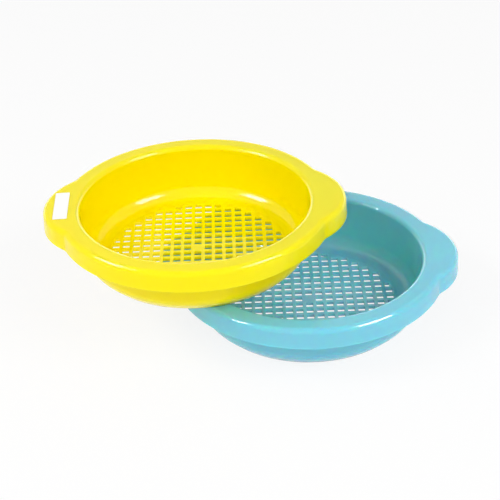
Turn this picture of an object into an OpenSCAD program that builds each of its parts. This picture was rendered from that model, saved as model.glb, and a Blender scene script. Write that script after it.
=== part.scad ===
// Two round sand sieves with handle lobes, one lying on the rim of the other.
// Millimetres. +Z is up, the lower sieve's foot is centred on the origin, and its handles lie along X.

/* [Rim] */
// Height of one sieve from its foot to the top of its rim
sieve_h = 50; // [44:1:70]
// Width of the flat rim, from the mouth of the bowl to the rim's outer edge
rim_w = 17.9; // [13:0.2:24]
// Rounding of the rim's outer edge
edge_r = 4.5; // [3.4:0.1:6]
// Depth of the skirt that hangs from the rim, with its rounded edge
skirt_h = 17; // [10:0.5:26]
// Draft of the skirt, in degrees
skirt_draft = 3.5; // [0:0.5:8]
// Wall thickness of the moulding
wall = 2.4; // [1.2:0.1:2.8]

/* [Handles] */
// How far each handle stands out past the round rim
handle_out = 12.5; // [8:0.5:24]
// Radius of the handle's round outline
handle_r = 56.5; // [40:0.5:70]
// Fillet where the handle runs into the round rim
root_r = 14; // [8:1:30]

/* [Bowl] */
// Inner radius of the bowl at its mouth
mouth_r = 95; // [85:0.2:120]
// Rounding from the flat rim down into the bowl
lip_r = 4.4; // [4:0.1:8]
// Draft of the bowl's wall, in degrees
bowl_draft = 3.8; // [2:0.1:10]
// Outer rounding between the bowl's wall and its floor
corner_r = 15.5; // [8:0.5:20]

/* [Mesh] */
// Plain floor between the bowl's rounded corner and the mesh
floor_edge = 4.3; // [2:0.1:30]
// Plain border of the mesh outside the holes
mesh_border = 2; // [1:0.5:4]
// Thickness of the mesh
mesh_t = 2.8; // [1.2:0.1:3.2]
// Side of a square hole
hole_side = 5.8; // [3:0.1:7]
// Distance from one hole to the next
hole_pitch = 8.75; // [8:0.25:14]

/* [Stack] */
// Shift of the upper sieve along the lower one's handles
upper_x = -93; // [-100:1:-60]
// Shift of the upper sieve across the handles
upper_y = 9.8; // [-20:0.1:20]
// Turn of the upper sieve, in degrees
upper_turn = 0.8; // [-10:0.1:10]
// Clearance between the lower rim and the upper foot
stack_gap = 0.2; // [0.1:0.1:0.5]

/* [Label] */
// Width of the blank label, across the handle
label_w = 11.6; // [6:0.1:14]
// Length of the blank label, along the handle's edge
label_l = 43.5; // [20:0.5:50]
// Thickness of the label
label_t = 0.15; // [0.1:0.05:0.3]
// Rounding of the label's corners
label_r = 1; // [0.5:0.1:2]
// Shift of the label's middle from the handle's middle
label_shift = 1; // [-2:0.1:4]
// Turn of the label on the handle, in degrees
label_turn = 2; // [-5:0.5:5]

/* [Hidden] */
$fn = 96;
lower_colour = "#92d1e2";
upper_colour = "#ffe900";
label_colour = "#f7f6f2";
// How far a cut runs past the faces that it opens
overrun = 1;
// How far a root fillet stands proud of the round faces that it joins, so that they meet in an edge
root_step = 0.02;

// Where the flat rim starts, and its outer radius
flat_r = mouth_r + lip_r;
rim_r = mouth_r + rim_w;
// Middle of a handle's round outline
handle_x = rim_r + handle_out - handle_r;
// Lowest point of the skirt
skirt_z = sieve_h - skirt_h;
// Middle of the fillet that is tangent to the round rim and to the handle's outline
root_rim = rim_r + root_r;
root_handle = handle_r + root_r;
root_x = (root_rim ^ 2 - root_handle ^ 2 + handle_x ^ 2) / (2 * handle_x);
root_y = sqrt(root_rim ^ 2 - root_x ^ 2);
// Middle of the lip's rounding in the bowl's section, and the direction square to the bowl's wall
lip_mid = [flat_r, sieve_h - lip_r];
out = [cos(bowl_draft), -sin(bowl_draft)];
// Middle of the rounding between wall and floor, which is tangent to both
corner_in = corner_r - wall;
corner_x = flat_r - (lip_r + corner_in) / cos(bowl_draft) - (lip_mid.y - corner_r) * tan(bowl_draft);
corner_mid = [corner_x, corner_r];
// Outer radius of the mesh, which ends inside the bowl's flat floor, and radius of its perforated area
mesh_edge = corner_x - floor_edge;
mesh_r = mesh_edge - mesh_border;
// Rows of holes on each side of the middle
rows = floor(mesh_r / hole_pitch);
// Middle of the handle's flat, between the lip and the rounding of the outer edge
label_x = (flat_r + rim_r + handle_out - edge_r) / 2;

// Section of the rim and skirt for a round outline of radius r, filled in to its middle
module rim_section(r, inset, below) {
    top = sieve_h - inset;
    er = edge_r - inset;
    mid = [r - edge_r, sieve_h - edge_r];
    edge = mid + er * [cos(skirt_draft), sin(skirt_draft)];
    foot_x = edge.x + (edge.y - skirt_z + below) * tan(skirt_draft);
    polygon([[0, skirt_z - below], [foot_x, skirt_z - below], edge, [mid.x, top], [0, top]]);
    translate(mid) circle(r = er);
}

// The space outside the rim and skirt round the middle of a root fillet
module root_section(inset, below) {
    top = sieve_h - inset;
    er = edge_r - inset;
    mid = [root_r + edge_r - root_step, sieve_h - edge_r];
    edge = mid - er * [cos(skirt_draft), -sin(skirt_draft)];
    foot_x = edge.x - (edge.y - skirt_z + below) * tan(skirt_draft);
    difference() {
        polygon([[0, skirt_z - below - overrun], [foot_x, skirt_z - below - overrun], [foot_x, skirt_z - below],
            edge, mid, [mid.x, top + overrun], [0, top + overrun]]);
        translate(mid) circle(r = er);
    }
}

// The solid under the rim, drawn in by inset on every side
module rim_fill(inset, below) {
    rotate_extrude() rim_section(rim_r, inset, below);
    for (side = [-1, 1]) {
        translate([side * handle_x, 0, 0]) rotate_extrude() rim_section(handle_r, inset, below);
    }
    for (sx = [0, 1], sy = [0, 1]) {
        mirror([sx, 0, 0]) mirror([0, sy, 0]) difference() {
            translate([0, 0, skirt_z - below]) linear_extrude(skirt_h + below - inset)
                polygon([[0, 0], [handle_x, 0], [root_x, root_y]]);
            translate([root_x, root_y, 0]) rotate_extrude() root_section(inset, below);
        }
    }
}

// Flat rim with its two handles and the skirt round the outside
module rim() {
    difference() {
        rim_fill(0, 0);
        rim_fill(wall, overrun);
        translate([0, 0, skirt_z - overrun]) cylinder(r = flat_r, h = skirt_h + 2 * overrun);
    }
}

// Section of the bowl: lip, drafted wall, rounded corner and the plain edge of the floor
module bowl_section() {
    difference() {
        union() {
            polygon([[0, 0], [corner_x, 0], corner_mid + corner_r * out, lip_mid - (lip_r - wall) * out,
                lip_mid, [flat_r, sieve_h], [0, sieve_h]]);
            translate(corner_mid) circle(r = corner_r);
        }
        translate(lip_mid) circle(r = lip_r - wall);
        difference() {
            union() {
                polygon([[0, wall], [corner_x, wall], corner_mid + corner_in * out, lip_mid - lip_r * out,
                    lip_mid, [flat_r, sieve_h + overrun], [0, sieve_h + overrun]]);
                translate(corner_mid) circle(r = corner_in);
            }
            translate(lip_mid) circle(r = lip_r);
        }
        translate([0, -overrun]) square([mesh_edge, wall + 2 * overrun]);
    }
}

module bowl() {
    rotate_extrude() bowl_section();
}

// Flat floor of the bowl, pierced by a square grid that leaves the moulding's gate solid in the middle
module mesh() {
    difference() {
        cylinder(r = mesh_edge, h = mesh_t);
        translate([0, 0, -overrun]) linear_extrude(mesh_t + 2 * overrun) intersection() {
            circle(r = mesh_r);
            for (i = [-rows:rows], j = [-rows:rows]) {
                away = norm([i, j]) * hole_pitch;
                if (away > 0 && away < mesh_r) {
                    translate([i, j] * hole_pitch) square(hole_side, center = true);
                }
            }
        }
    }
}

module on_stack() {
    translate([upper_x, upper_y, sieve_h + stack_gap]) rotate([0, 0, upper_turn]) children();
}

module lower_rim() {
    color(lower_colour) rim();
}

module lower_bowl() {
    color(lower_colour) bowl();
}

module lower_mesh() {
    color(lower_colour) mesh();
}

module upper_rim() {
    color(upper_colour) on_stack() rim();
}

module upper_bowl() {
    color(upper_colour) on_stack() bowl();
}

module upper_mesh() {
    color(upper_colour) on_stack() mesh();
}

// Blank label on the upper sieve's left handle
module label() {
    color(label_colour) on_stack() translate([-label_x, -label_shift, sieve_h])
        rotate([0, 0, label_turn]) linear_extrude(label_t) {
            square([label_w - 2 * label_r, label_l], center = true);
            square([label_w, label_l - 2 * label_r], center = true);
            for (sx = [-1, 1], sy = [-1, 1]) {
                translate([sx * (label_w / 2 - label_r), sy * (label_l / 2 - label_r)]) circle(r = label_r);
            }
        }
}

lower_rim();
lower_bowl();
lower_mesh();
upper_rim();
upper_bowl();
upper_mesh();
label();
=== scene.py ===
# Two glossy plastic sand sieves, the yellow one lying on the rim of the light blue one.
import math
import bmesh
import bpy
from mathutils import Matrix, Vector


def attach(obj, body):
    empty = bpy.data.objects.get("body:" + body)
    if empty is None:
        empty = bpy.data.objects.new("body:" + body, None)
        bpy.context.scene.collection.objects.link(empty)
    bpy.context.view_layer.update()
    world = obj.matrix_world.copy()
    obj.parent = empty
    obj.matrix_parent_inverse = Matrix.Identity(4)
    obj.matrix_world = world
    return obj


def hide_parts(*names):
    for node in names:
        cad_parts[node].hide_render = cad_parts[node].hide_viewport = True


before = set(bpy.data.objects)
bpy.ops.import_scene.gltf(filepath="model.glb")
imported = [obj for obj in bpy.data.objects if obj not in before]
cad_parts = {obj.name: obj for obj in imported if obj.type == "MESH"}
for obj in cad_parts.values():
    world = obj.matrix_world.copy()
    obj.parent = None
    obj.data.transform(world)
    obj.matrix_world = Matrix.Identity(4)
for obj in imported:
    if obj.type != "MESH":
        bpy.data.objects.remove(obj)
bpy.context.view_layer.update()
print("frame loaded")

metresPerMm = 0.001
closeMm = 0.01           # points nearer to each other than this count as one


def hexToLinear(code):
    # the sRGB curve, turned back into amounts of light
    parts = [int(code[i:i + 2], 16) / 255 for i in (1, 3, 5)]
    return [p / 12.92 if p <= 0.04045 else ((p + 0.055) / 1.055) ** 2.4 for p in parts] + [1.0]


def addNode(tree, kind, values={}, links={}, **settings):
    node = tree.nodes.new(kind)
    for name, value in settings.items():
        setattr(node, name, value)
    for socket, value in values.items():
        node.inputs[socket].default_value = value
    for socket, source in links.items():
        tree.links.new(source, node.inputs[socket])
    return node


def newMaterial(name):
    material = bpy.data.materials.new(name)
    material.use_nodes = True
    material.node_tree.nodes.clear()
    return material, material.node_tree


def makePiece(name, bm, material):
    mesh = bpy.data.meshes.new(name)
    bm.to_mesh(mesh)
    bm.free()
    mesh.materials.append(material)
    piece = bpy.data.objects.new(name, mesh)
    bpy.context.scene.collection.objects.link(piece)
    return piece


# the two plastics: flowMm is the size of the cloudy patches, depthMm how deep light goes inside, and
# reach how far red, green and blue go, in parts of that depth
bluePlastic = {
    "colour": "#7dc6dc",
    "cloudColour": "#77c4da",
    "flowMm": 45.0,
    "roughness": (0.05, 0.08),
    "ior": 1.49,
    "sheen": 0.55,
    "depthMm": 8.0,
    "reach": (0.04, 1.0, 0.5),
}
yellowPlastic = {
    "colour": "#ffe400",
    "cloudColour": "#ffe200",
    "flowMm": 45.0,
    "roughness": (0.05, 0.08),
    "ior": 1.49,
    "sheen": 0.25,
    "depthMm": 4.0,
    "reach": (1.0, 0.9, 0.1),
}


def mouldedPolypropylene(name, look):
    # injection-moulded polypropylene: a polished skin that mirrors lamps as crisp streaks, a body that light
    # enters a few millimetres deep, and faint cloudy patches in tint and gloss where the melt flowed
    material, tree = newMaterial(name)
    place = addNode(tree, "ShaderNodeTexCoord")
    flow = addNode(tree, "ShaderNodeTexNoise", {"Scale": 1 / (look["flowMm"] * metresPerMm)},
                   {"Vector": place.outputs["Object"]})
    tint = addNode(tree, "ShaderNodeMix",
                   {"A": hexToLinear(look["colour"]), "B": hexToLinear(look["cloudColour"])},
                   {"Factor": flow.outputs["Fac"]}, data_type="RGBA")
    gloss = addNode(tree, "ShaderNodeMapRange",
                    {"To Min": look["roughness"][0], "To Max": look["roughness"][1]},
                    {"Value": flow.outputs["Fac"]})
    shader = addNode(tree, "ShaderNodeBsdfPrincipled",
                     {"IOR": look["ior"], "Specular IOR Level": look["sheen"], "Subsurface Weight": 1.0,
                      "Subsurface Scale": look["depthMm"] * metresPerMm, "Subsurface Radius": look["reach"]},
                     {"Base Color": tint.outputs["Result"], "Roughness": gloss.outputs["Result"]})
    addNode(tree, "ShaderNodeOutputMaterial", {}, {"Surface": shader.outputs["BSDF"]})
    return material


# sizes of one sieve, in millimetres and degrees
sieve = {
    "height": 50.0,
    "mouthRadius": 95.0,
    "lipRadius": 4.4,
    "bowlDraft": 3.8,
    "cornerRadius": 15.5,
    "wall": 2.4,
    "meshThickness": 2.8,
    "rimWidth": 17.9,
    "edgeRadius": 4.5,
    "skirtDepth": 17.0,
    "skirtDraft": 3.5,
    "handleOut": 12.5,
    "handleRadius": 56.5,
    "rootFillet": 14.0,
    "plainFloor": 4.3,
    "meshBorder": 2.0,
    "holeSide": 5.8,
    "holePitch": 8.75,
    "meshStep": 0.3,       # width of the slope from the plain floor up to the thicker mesh
    "holeEdge": 0.1,       # softened edge of a moulded hole
    "footEdge": 0.5,       # softened edge of the skirt's foot
    "flatStrip": 0.5,      # flat ring beside each rounding, which keeps the flat rim's shading flat
    "cutSnap": 0.15,       # a cut through the mesh uses a corner that is this near
    "sharpTurn": 50.0,     # an edge that turns more than this is softened
    # how many steps each stretch has
    "ringSteps": 192,
    "floorSteps": 2,
    "cornerSteps": 14,
    "wallSteps": 4,
    "lipSteps": 10,
    "edgeSteps": 10,
    "handleSteps": 20,
    "rootSteps": 12,
    "quarterSteps": 36,
    "footEdgeSteps": 3,
}

# how the yellow sieve lies on the blue one, in millimetres and degrees
stack = {"shift": (-93.0, 9.8), "lift": 50.2, "turn": 0.8}


def extrudeLine(bm, pen, end, steps=1):
    start = pen.co.copy()
    for i in range(steps):
        made = bmesh.ops.extrude_vert_indiv(bm, verts=[pen])
        pen = made["verts"][0]
        pen.co = start.lerp(Vector(end), (i + 1) / steps)
    return pen


def extrudeArc(bm, pen, centre, degrees, steps):
    # the section lies in the XZ plane, and a positive turn goes from X towards Z
    made = bmesh.ops.spin(bm, geom=[pen], cent=centre, axis=(0, -1, 0), angle=math.radians(degrees),
                          steps=steps)
    return [g for g in made["geom_last"] if isinstance(g, bmesh.types.BMVert)][0]


def sweepRound(bm, section, centre, degrees, steps, closed=False):
    made = bmesh.ops.spin(bm, geom=section, cent=centre, axis=(0, 0, 1), angle=math.radians(degrees),
                          steps=steps, use_merge=closed)
    return made["geom_last"]


def buildBowl(bm, s):
    # inside of the bowl, drawn from the mesh out to the lip and spun round
    draft = math.radians(s["bowlDraft"])
    outward = Vector((math.cos(draft), 0, -math.sin(draft)))
    flatRadius = s["mouthRadius"] + s["lipRadius"]
    innerCorner = s["cornerRadius"] - s["wall"]
    lipMiddle = Vector((flatRadius, 0, s["height"] - s["lipRadius"]))
    cornerX = (flatRadius - (s["lipRadius"] + innerCorner) / math.cos(draft)
               - (lipMiddle.z - s["cornerRadius"]) * math.tan(draft))
    cornerMiddle = Vector((cornerX, 0, s["cornerRadius"]))
    meshRadius = cornerX - s["plainFloor"] - s["meshBorder"]
    meshEdge = meshRadius + s["meshBorder"]
    pen = bm.verts.new((meshRadius, 0, s["meshThickness"]))
    pen = extrudeLine(bm, pen, (meshEdge, 0, s["meshThickness"]))
    pen = extrudeLine(bm, pen, (meshEdge + s["meshStep"], 0, s["wall"]))
    pen = extrudeLine(bm, pen, (cornerX, 0, s["wall"]), s["floorSteps"])
    pen = extrudeArc(bm, pen, cornerMiddle, 90 - s["bowlDraft"], s["cornerSteps"])
    pen = extrudeLine(bm, pen, lipMiddle - s["lipRadius"] * outward, s["wallSteps"])
    pen = extrudeArc(bm, pen, lipMiddle, s["bowlDraft"] - 90, s["lipSteps"])
    extrudeLine(bm, pen, (flatRadius + s["flatStrip"], 0, s["height"]))
    sweepRound(bm, bm.verts[:] + bm.edges[:], (0, 0, 0), 360, s["ringSteps"], closed=True)
    return meshRadius


def buildRim(bm, s):
    # outer edge and skirt: a quarter of the outline, mirrored twice
    rimRadius = s["mouthRadius"] + s["rimWidth"]
    handleX = rimRadius + s["handleOut"] - s["handleRadius"]
    # middle of the fillet that touches both the round rim and the handle's outline
    fromRim = rimRadius + s["rootFillet"]
    fromHandle = s["handleRadius"] + s["rootFillet"]
    rootX = (fromRim ** 2 - fromHandle ** 2 + handleX ** 2) / (2 * handleX)
    rootY = math.sqrt(fromRim ** 2 - rootX ** 2)
    handleTurn = math.degrees(math.atan2(rootY, rootX - handleX))
    rimTurn = math.degrees(math.atan2(rootY, rootX))
    draft = math.radians(s["skirtDraft"])
    tip = rimRadius + s["handleOut"]
    edgeMiddle = Vector((tip - s["edgeRadius"], 0, s["height"] - s["edgeRadius"]))
    edgeEnd = edgeMiddle + s["edgeRadius"] * Vector((math.cos(draft), 0, math.sin(draft)))
    footZ = s["height"] - s["skirtDepth"]
    footX = edgeEnd.x + (edgeEnd.z - footZ) * math.tan(draft)
    before = set(bm.verts)
    pen = bm.verts.new((edgeMiddle.x - s["flatStrip"], 0, s["height"]))
    pen = extrudeLine(bm, pen, (edgeMiddle.x, 0, s["height"]))
    pen = extrudeArc(bm, pen, edgeMiddle, s["skirtDraft"] - 90, s["edgeSteps"])
    extrudeLine(bm, pen, (footX, 0, footZ), s["wallSteps"])
    section = [v for v in bm.verts if v not in before]
    section += [e for e in bm.edges if e.verts[0] in section]
    last = sweepRound(bm, section, (handleX, 0, 0), handleTurn, s["handleSteps"])
    last = sweepRound(bm, last, (rootX, rootY, 0), rimTurn - handleTurn, s["rootSteps"])
    sweepRound(bm, last, (0, 0, 0), 90 - rimTurn, s["quarterSteps"])
    for axis in "XY":
        made = [v for v in bm.verts if v not in before]
        own = set(made)
        made += [e for e in bm.edges if e.verts[0] in own]
        made += [f for f in bm.faces if f.verts[0] in own]
        bmesh.ops.mirror(bm, geom=made, matrix=Matrix.Identity(4), merge_dist=closeMm, axis=axis)


def fillFlatRim(bm, s):
    # the flat face between the lip's ring and the outer edge's outline
    top = [e for e in bm.edges
           if e.is_boundary and all(abs(v.co.z - s["height"]) < closeMm for v in e.verts)]
    bmesh.ops.triangle_fill(bm, use_beauty=True, use_dissolve=False, normal=(0, 0, 1), edges=top)


def pierceFloor(bm, s, meshRadius):
    # the floor is cut along both sides of each row of holes, and the cells of the holes are taken out
    rows = int(meshRadius / s["holePitch"])
    ring = [e for e in bm.edges
            if e.is_boundary and all(abs(v.co.xy.length - meshRadius) < closeMm for v in e.verts)]
    bmesh.ops.edgeloop_fill(bm, edges=ring)

    def onMesh():
        return [f for f in bm.faces if f.calc_center_median().xy.length < meshRadius - closeMm]

    for axis in (Vector((1, 0, 0)), Vector((0, 1, 0))):
        for row in range(-rows, rows + 1):
            for side in (-0.5, 0.5):
                place = row * s["holePitch"] + side * s["holeSide"]
                faces = onMesh()
                edges = {e for f in faces for e in f.edges}
                verts = {v for f in faces for v in f.verts}
                bmesh.ops.bisect_plane(bm, geom=faces + list(edges) + list(verts), dist=s["cutSnap"],
                                       plane_co=axis * place, plane_no=axis)
    holes = []
    for face in onMesh():
        middle = face.calc_center_median()
        cell = [round(c / s["holePitch"]) for c in middle.xy]
        inside = all(abs(c - n * s["holePitch"]) < s["holeSide"] / 2 for c, n in zip(middle.xy, cell))
        away = math.hypot(*cell) * s["holePitch"]
        # the cell in the middle stays solid, where the plastic flowed in
        if inside and 0 < away < meshRadius:
            holes.append(face)
    bmesh.ops.delete(bm, geom=holes, context="FACES")


def thickenWall(bm, s):
    bmesh.ops.remove_doubles(bm, verts=bm.verts, dist=closeMm)
    bmesh.ops.recalc_face_normals(bm, faces=bm.faces)
    # the skin is the bowl's inside, so its floor faces up and the wall grows away from it
    floor = min(bm.faces, key=lambda f: f.calc_center_median().length)
    if floor.normal.z < 0:
        bmesh.ops.reverse_faces(bm, faces=bm.faces)
    bmesh.ops.solidify(bm, geom=bm.faces[:], thickness=s["wall"])
    # the underside stays flat where the mesh is thicker than the wall
    for vert in bm.verts:
        if vert.co.z < s["meshThickness"] - s["wall"] / 2:
            vert.co.z = 0


def softenEdges(bm, s, meshRadius):
    skirtFoot = s["height"] - s["skirtDepth"] - s["wall"]
    sharp = [e for e in bm.edges
             if len(e.link_faces) == 2 and e.calc_face_angle(0) > math.radians(s["sharpTurn"])]
    foot = [e for e in sharp
            if min(v.co.z for v in e.verts) > skirtFoot
            and max(v.co.xy.length for v in e.verts) > s["mouthRadius"]]
    holes = [e for e in sharp if all(v.co.xy.length < meshRadius + s["meshBorder"] / 2 for v in e.verts)]
    bmesh.ops.bevel(bm, geom=foot, offset=s["footEdge"], offset_type="OFFSET",
                    segments=s["footEdgeSteps"], profile=0.5, affect="EDGES", material=-1)
    bmesh.ops.bevel(bm, geom=holes, offset=s["holeEdge"], offset_type="OFFSET", segments=1, profile=0.5,
                    affect="EDGES", clamp_overlap=False, material=-1)


def buildSieve(name, place, plastic, s):
    # one moulding: a thin skin of bowl, rim and pierced floor, which is then given its wall
    bm = bmesh.new()
    meshRadius = buildBowl(bm, s)
    buildRim(bm, s)
    fillFlatRim(bm, s)
    pierceFloor(bm, s, meshRadius)
    thickenWall(bm, s)
    softenEdges(bm, s, meshRadius)
    bmesh.ops.transform(bm, verts=bm.verts, matrix=place @ Matrix.Scale(metresPerMm, 4))
    for face in bm.faces:
        face.smooth = True
    piece = makePiece(name, bm, plastic)
    shading = piece.modifiers.new("flat faces stay flat", "WEIGHTED_NORMAL")
    shading.keep_sharp = True
    return piece


onStack = (Matrix.Translation(Vector((*stack["shift"], stack["lift"])) * metresPerMm)
           @ Matrix.Rotation(math.radians(stack["turn"]), 4, "Z"))

lowerSieve = buildSieve("lowerSieve", Matrix.Identity(4),
                        mouldedPolypropylene("moulded polypropylene light blue", bluePlastic), sieve)
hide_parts("lower_rim", "lower_bowl", "lower_mesh")
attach(lowerSieve, "lower_sieve")

upperSieve = buildSieve("upperSieve", onStack,
                        mouldedPolypropylene("moulded polypropylene yellow", yellowPlastic), sieve)
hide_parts("upper_rim", "upper_bowl", "upper_mesh")
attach(upperSieve, "upper_sieve")
print("sieves modelled")

# sizes of the film label in millimetres and degrees, and its finish
label = {
    "width": 11.6,
    "length": 43.5,
    "thickness": 0.15,
    "cornerRadius": 1.0,
    "cornerSteps": 6,
    "edge": 0.05,          # softened upper edge of the film
    "edgeSteps": 2,
    "shift": 1.0,          # from the handle's middle towards the viewer
    "turn": 2.0,
    "colour": "#fbfaf6",
    "roughness": 0.35,
    "ior": 1.5,
    "pressMm": 6.0,        # size of the uneven spots that a thumb leaves
    "pressDepthMm": 0.05,
    "pressStrength": 0.15,
}


def pressedFilm(name, look):
    # white polypropylene label film: smooth and satin, with a faint unevenness from being pressed on by hand
    material, tree = newMaterial(name)
    place = addNode(tree, "ShaderNodeTexCoord")
    press = addNode(tree, "ShaderNodeTexNoise", {"Scale": 1 / (look["pressMm"] * metresPerMm)},
                    {"Vector": place.outputs["Object"]})
    wave = addNode(tree, "ShaderNodeBump",
                   {"Strength": look["pressStrength"], "Distance": look["pressDepthMm"] * metresPerMm},
                   {"Height": press.outputs["Fac"]})
    shader = addNode(tree, "ShaderNodeBsdfPrincipled",
                     {"Base Color": hexToLinear(look["colour"]), "IOR": look["ior"],
                      "Roughness": look["roughness"]},
                     {"Normal": wave.outputs["Normal"]})
    addNode(tree, "ShaderNodeOutputMaterial", {}, {"Surface": shader.outputs["BSDF"]})
    return material


def buildLabel(name, place, s):
    bm = bmesh.new()
    bmesh.ops.create_grid(bm, x_segments=1, y_segments=1, size=0.5)
    bmesh.ops.scale(bm, vec=(s["width"], s["length"], 1), verts=bm.verts)
    bmesh.ops.bevel(bm, geom=bm.verts[:], offset=s["cornerRadius"], segments=s["cornerSteps"], profile=0.5,
                    affect="VERTICES", material=-1)
    made = bmesh.ops.extrude_face_region(bm, geom=bm.faces[:], use_keep_orig=True)
    top = [g for g in made["geom"] if isinstance(g, bmesh.types.BMVert)]
    bmesh.ops.translate(bm, vec=(0, 0, s["thickness"]), verts=top)
    bmesh.ops.recalc_face_normals(bm, faces=bm.faces)
    upperEdge = [e for e in bm.edges if all(v in top for v in e.verts)]
    bmesh.ops.bevel(bm, geom=upperEdge, offset=s["edge"], offset_type="OFFSET", segments=s["edgeSteps"],
                    profile=0.5, affect="EDGES", material=-1)
    bmesh.ops.transform(bm, verts=bm.verts, matrix=place @ Matrix.Scale(metresPerMm, 4))
    return makePiece(name, bm, pressedFilm("white label film", s))


# the label's middle is halfway across the flat part of the yellow sieve's left handle
flatStart = sieve["mouthRadius"] + sieve["lipRadius"]
flatEnd = sieve["mouthRadius"] + sieve["rimWidth"] + sieve["handleOut"] - sieve["edgeRadius"]
labelSpot = Vector((-(flatStart + flatEnd) / 2, -label["shift"], sieve["height"])) * metresPerMm
onHandle = onStack @ Matrix.Translation(labelSpot) @ Matrix.Rotation(math.radians(label["turn"]), 4, "Z")

blankLabel = buildLabel("blankLabel", onHandle, label)
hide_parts("label")
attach(blankLabel, "upper_sieve")
print("label modelled")

studio = {
    "white": (1.0, 1.0, 1.0, 1.0),
    "tableColour": "#f4f4f4",
    "tableRoughness": 0.4,
    "tableIor": 1.5,
    "tableHalfWidth": 6.0,   # metres
    "tableGlow": 0.85,       # share of the seen table that is plain white, and the rest keeps the shadow
    "fill": 0.45,            # strength of the white room's light on the object
    "background": 1.0,       # strength of the white room where it is seen
}


def backgroundRays(tree):
    # one for the rays that show the background: the camera's own, and those seen in gloss or through glass
    path = addNode(tree, "ShaderNodeLightPath")
    shown = addNode(tree, "ShaderNodeMath", {},
                    {0: path.outputs["Is Camera Ray"], 1: path.outputs["Is Glossy Ray"]},
                    operation="MAXIMUM")
    return addNode(tree, "ShaderNodeMath", {},
                   {0: shown.outputs[0], 1: path.outputs["Is Transmission Ray"]},
                   operation="MAXIMUM")


def satinTable(name, look):
    # white laminate: satin, and so evenly lit that its surface disappears except for the shadow
    material, tree = newMaterial(name)
    surface = addNode(tree, "ShaderNodeBsdfPrincipled",
                      {"Base Color": hexToLinear(look["tableColour"]), "Roughness": look["tableRoughness"],
                       "IOR": look["tableIor"]})
    shadow = addNode(tree, "ShaderNodeBsdfDiffuse", {"Color": hexToLinear(look["tableColour"])})
    glow = addNode(tree, "ShaderNodeEmission", {"Color": look["white"], "Strength": look["background"]})
    seen = addNode(tree, "ShaderNodeMixShader", {0: look["tableGlow"]},
                   {1: shadow.outputs[0], 2: glow.outputs[0]})
    pick = addNode(tree, "ShaderNodeMixShader", {},
                   {0: backgroundRays(tree).outputs[0], 1: surface.outputs[0], 2: seen.outputs[0]})
    addNode(tree, "ShaderNodeOutputMaterial", {}, {"Surface": pick.outputs[0]})
    return material


def whiteRoom(name, look):
    room = bpy.data.worlds.new(name)
    room.use_nodes = True
    tree = room.node_tree
    tree.nodes.clear()
    fill = addNode(tree, "ShaderNodeBackground", {"Color": look["white"], "Strength": look["fill"]})
    seen = addNode(tree, "ShaderNodeBackground", {"Color": look["white"], "Strength": look["background"]})
    pick = addNode(tree, "ShaderNodeMixShader", {},
                   {0: backgroundRays(tree).outputs[0], 1: fill.outputs[0], 2: seen.outputs[0]})
    addNode(tree, "ShaderNodeOutputWorld", {}, {"Surface": pick.outputs[0]})
    return room


bm = bmesh.new()
bmesh.ops.create_grid(bm, x_segments=1, y_segments=1, size=studio["tableHalfWidth"])
table = makePiece("table", bm, satinTable("white table", studio))
bpy.context.scene.world = whiteRoom("studio", studio)

# the lamps: azimuth from the viewer's side, elevation and size as seen from the sieves, in degrees, and the
# distance in metres; a light lamp only lights the sieves, and a glint lamp only shows in their gloss
lampAim = Vector((-0.045, 0.004, 0.05))
lamps = {
    "right light": {"azimuth": 57, "elevation": 41, "wide": 29, "high": 17, "away": 2.2, "light": 6.5},
    "left light": {"azimuth": -75, "elevation": 41, "wide": 31, "high": 17, "away": 2.2, "light": 6.5},
    "front light": {"azimuth": 5, "elevation": 36, "wide": 60, "high": 40, "away": 2.2, "light": 1.2},
    "right glint": {"azimuth": 59, "elevation": 41, "wide": 25, "high": 20, "away": 2.0, "glint": 30},
    "left glint": {"azimuth": -77, "elevation": 41, "wide": 26, "high": 19.5, "away": 1.2, "glint": 30},
    "back glint": {"azimuth": 180, "elevation": 9, "wide": 110, "high": 14, "away": 2.0, "glint": 2.6},
}


def hangLamp(name, lamp):
    azimuth = math.radians(lamp["azimuth"])
    elevation = math.radians(lamp["elevation"])
    across = math.cos(elevation)
    toward = Vector((math.sin(azimuth) * across, -math.cos(azimuth) * across, math.sin(elevation)))
    panel = bpy.data.lights.new(name, "AREA")
    panel.shape = "RECTANGLE"
    panel.size = 2 * lamp["away"] * math.tan(math.radians(lamp["wide"] / 2))
    panel.size_y = 2 * lamp["away"] * math.tan(math.radians(lamp["high"] / 2))
    use = "light" if "light" in lamp else "glint"
    # the strength is how bright the panel's face is, whatever its size
    panel.energy = lamp[use] * math.pi * panel.size * panel.size_y
    holder = bpy.data.objects.new(name, panel)
    holder.location = lampAim + toward * lamp["away"]
    holder.rotation_euler = toward.to_track_quat("Z", "Y").to_euler()
    holder.visible_camera = False
    holder.visible_diffuse = use == "light"
    holder.visible_glossy = use == "glint"
    bpy.context.scene.collection.objects.link(holder)


for name, lamp in lamps.items():
    hangLamp(name, lamp)
print("studio lit")

view = {
    "place": (-0.04135, -0.8660, 0.5942),
    "turnDegrees": (58.05, 2.129, -0.824),
    "focalLengthMm": 87.56,
    "sensorWidthMm": 36.0,
}
lens = bpy.data.cameras.new("view")
lens.lens = view["focalLengthMm"]
lens.sensor_width = view["sensorWidthMm"]
camera = bpy.data.objects.new("view", lens)
camera.location = view["place"]
camera.rotation_euler = [math.radians(turn) for turn in view["turnDegrees"]]
bpy.context.scene.collection.objects.link(camera)
bpy.context.scene.camera = camera
bpy.context.scene.view_settings.view_transform = "Standard"
